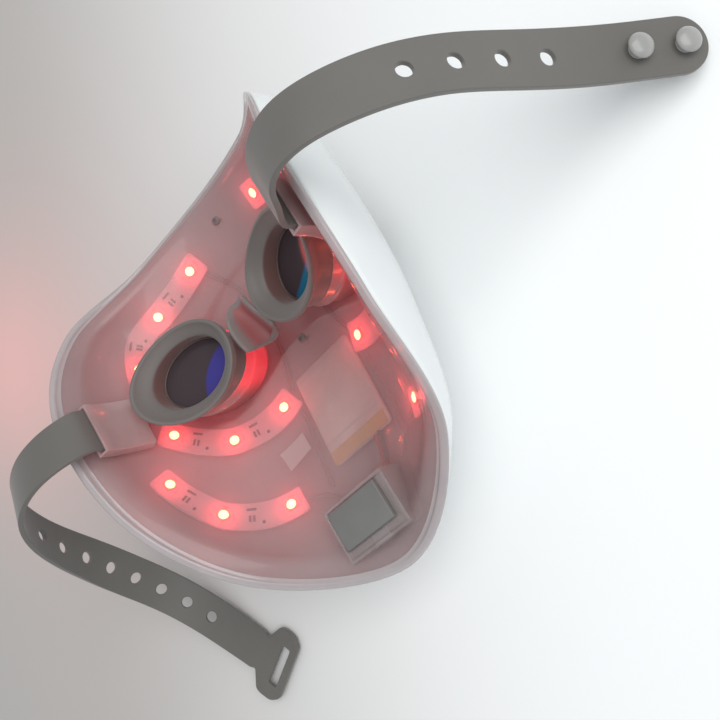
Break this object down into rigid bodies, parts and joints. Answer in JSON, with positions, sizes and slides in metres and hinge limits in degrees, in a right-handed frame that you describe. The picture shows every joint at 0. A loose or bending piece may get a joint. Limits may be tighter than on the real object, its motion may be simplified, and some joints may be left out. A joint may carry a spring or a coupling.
{
  "type": "led face mask",
  "caption": "Rigid light-therapy face mask with red light boards between a white shell and a clear liner, grey eye cups with dark lenses and two silicone head straps.",
  "frame": {"origin": "middle of the whole object's box at the surface the mask's front rests on", "axes": "+X towards the wearer's right, +Y towards the forehead, +Z from the mask's front to the wearer"},
  "size_m": [0.3534, 0.2202, 0.1111],
  "materials": {
    "shell_white": "glossy white moulding",
    "liner_clear": "clear moulding, slightly hazy",
    "board_white": "white flexible circuit",
    "foam": "closed foam",
    "led_red": "lit red emitter",
    "silicone_grey": "soft silicone, satin",
    "lens_dark": "dark coated lens",
    "ring_grey": "satin",
    "window_dark": "glossy dark",
    "battery_foil": "satin foil pouch",
    "wire_red": "insulated wire",
    "circuit": "circuit board",
    "box_clear": "clear moulding",
    "lid_grey": "satin grey",
    "steel": "plated",
    "switch_black": "black",
    "button_pale": "satin",
    "stud_pale": "satin"
  },
  "bodies": {
    "mask_body": {"battery": "battery_foil", "battery_lead": "wire_red", "control_board": "circuit", "control_box": "box_clear", "control_lid": "lid_grey", "eye_cup_left": "silicone_grey", "eye_cup_right": "silicone_grey", "eye_window_left": "window_dark", "eye_window_right": "window_dark", "inner_liner": "liner_clear", "led_board_cheek_left": "board_white", "led_board_cheek_right": "board_white", "led_board_forehead_left": "board_white", "led_board_forehead_right": "board_white", "led_board_jaw_left": "board_white", "led_board_jaw_right": "board_white", "led_cheek_left_1": "led_red", "led_cheek_left_2": "led_red", "led_cheek_left_3": "led_red", "led_cheek_right_1": "led_red", "led_cheek_right_2": "led_red", "led_cheek_right_3": "led_red", "led_forehead_left_1": "led_red", "led_forehead_left_2": "led_red", "led_forehead_left_3": "led_red", "led_forehead_right_1": "led_red", "led_forehead_right_2": "led_red", "led_forehead_right_3": "led_red", "led_jaw_left_1": "led_red", "led_jaw_left_2": "led_red", "led_jaw_left_3": "led_red", "led_jaw_right_1": "led_red", "led_jaw_right_2": "led_red", "led_jaw_right_3": "led_red", "led_pad_cheek_left": "foam", "led_pad_cheek_right": "foam", "led_pad_forehead_left": "foam", "led_pad_forehead_right": "foam", "led_pad_jaw_left": "foam", "led_pad_jaw_right": "foam", "lens_left": "lens_dark", "lens_right": "lens_dark", "lens_ring_left": "ring_grey", "lens_ring_right": "ring_grey", "nose_bridge": "silicone_grey", "outer_shell": "shell_white", "screw_forehead": "steel", "screw_philtrum": "steel", "strap_anchor_left": "silicone_grey", "strap_anchor_right": "silicone_grey", "strap_pocket_left": "box_clear", "strap_pocket_right": "box_clear", "tact_switch": "switch_black", "usb_socket": "steel"},
    "strap_left_body": {"strap_left": "silicone_grey"},
    "strap_right_body": {"strap_right": "silicone_grey", "strap_stud_1": "stud_pale", "strap_stud_2": "stud_pale"},
    "button_body": {"power_button": "button_pale"}
  },
  "joints": [
    {"name": "strap_left_flex", "type": "hinge", "parent": "mask_body", "child": "strap_left_body", "pos_m": [-0.091, 0.02225, 0.08452], "axis": [-0.027, 0.9993, 0.025], "range_deg": [0, 35], "stiffness_Nm_per_rad": 0.3},
    {"name": "strap_right_flex", "type": "hinge", "parent": "mask_body", "child": "strap_right_body", "pos_m": [0.04742, 0.02225, 0.08452], "axis": [-0.027, -0.9993, -0.025], "range_deg": [0, 35], "stiffness_Nm_per_rad": 0.3},
    {"name": "power_button_press", "type": "slide", "parent": "mask_body", "child": "button_body", "axis": [0, 0.3851, 0.9229], "range_m": [0, 0.001], "stiffness_N_per_m": 900}
  ]
}
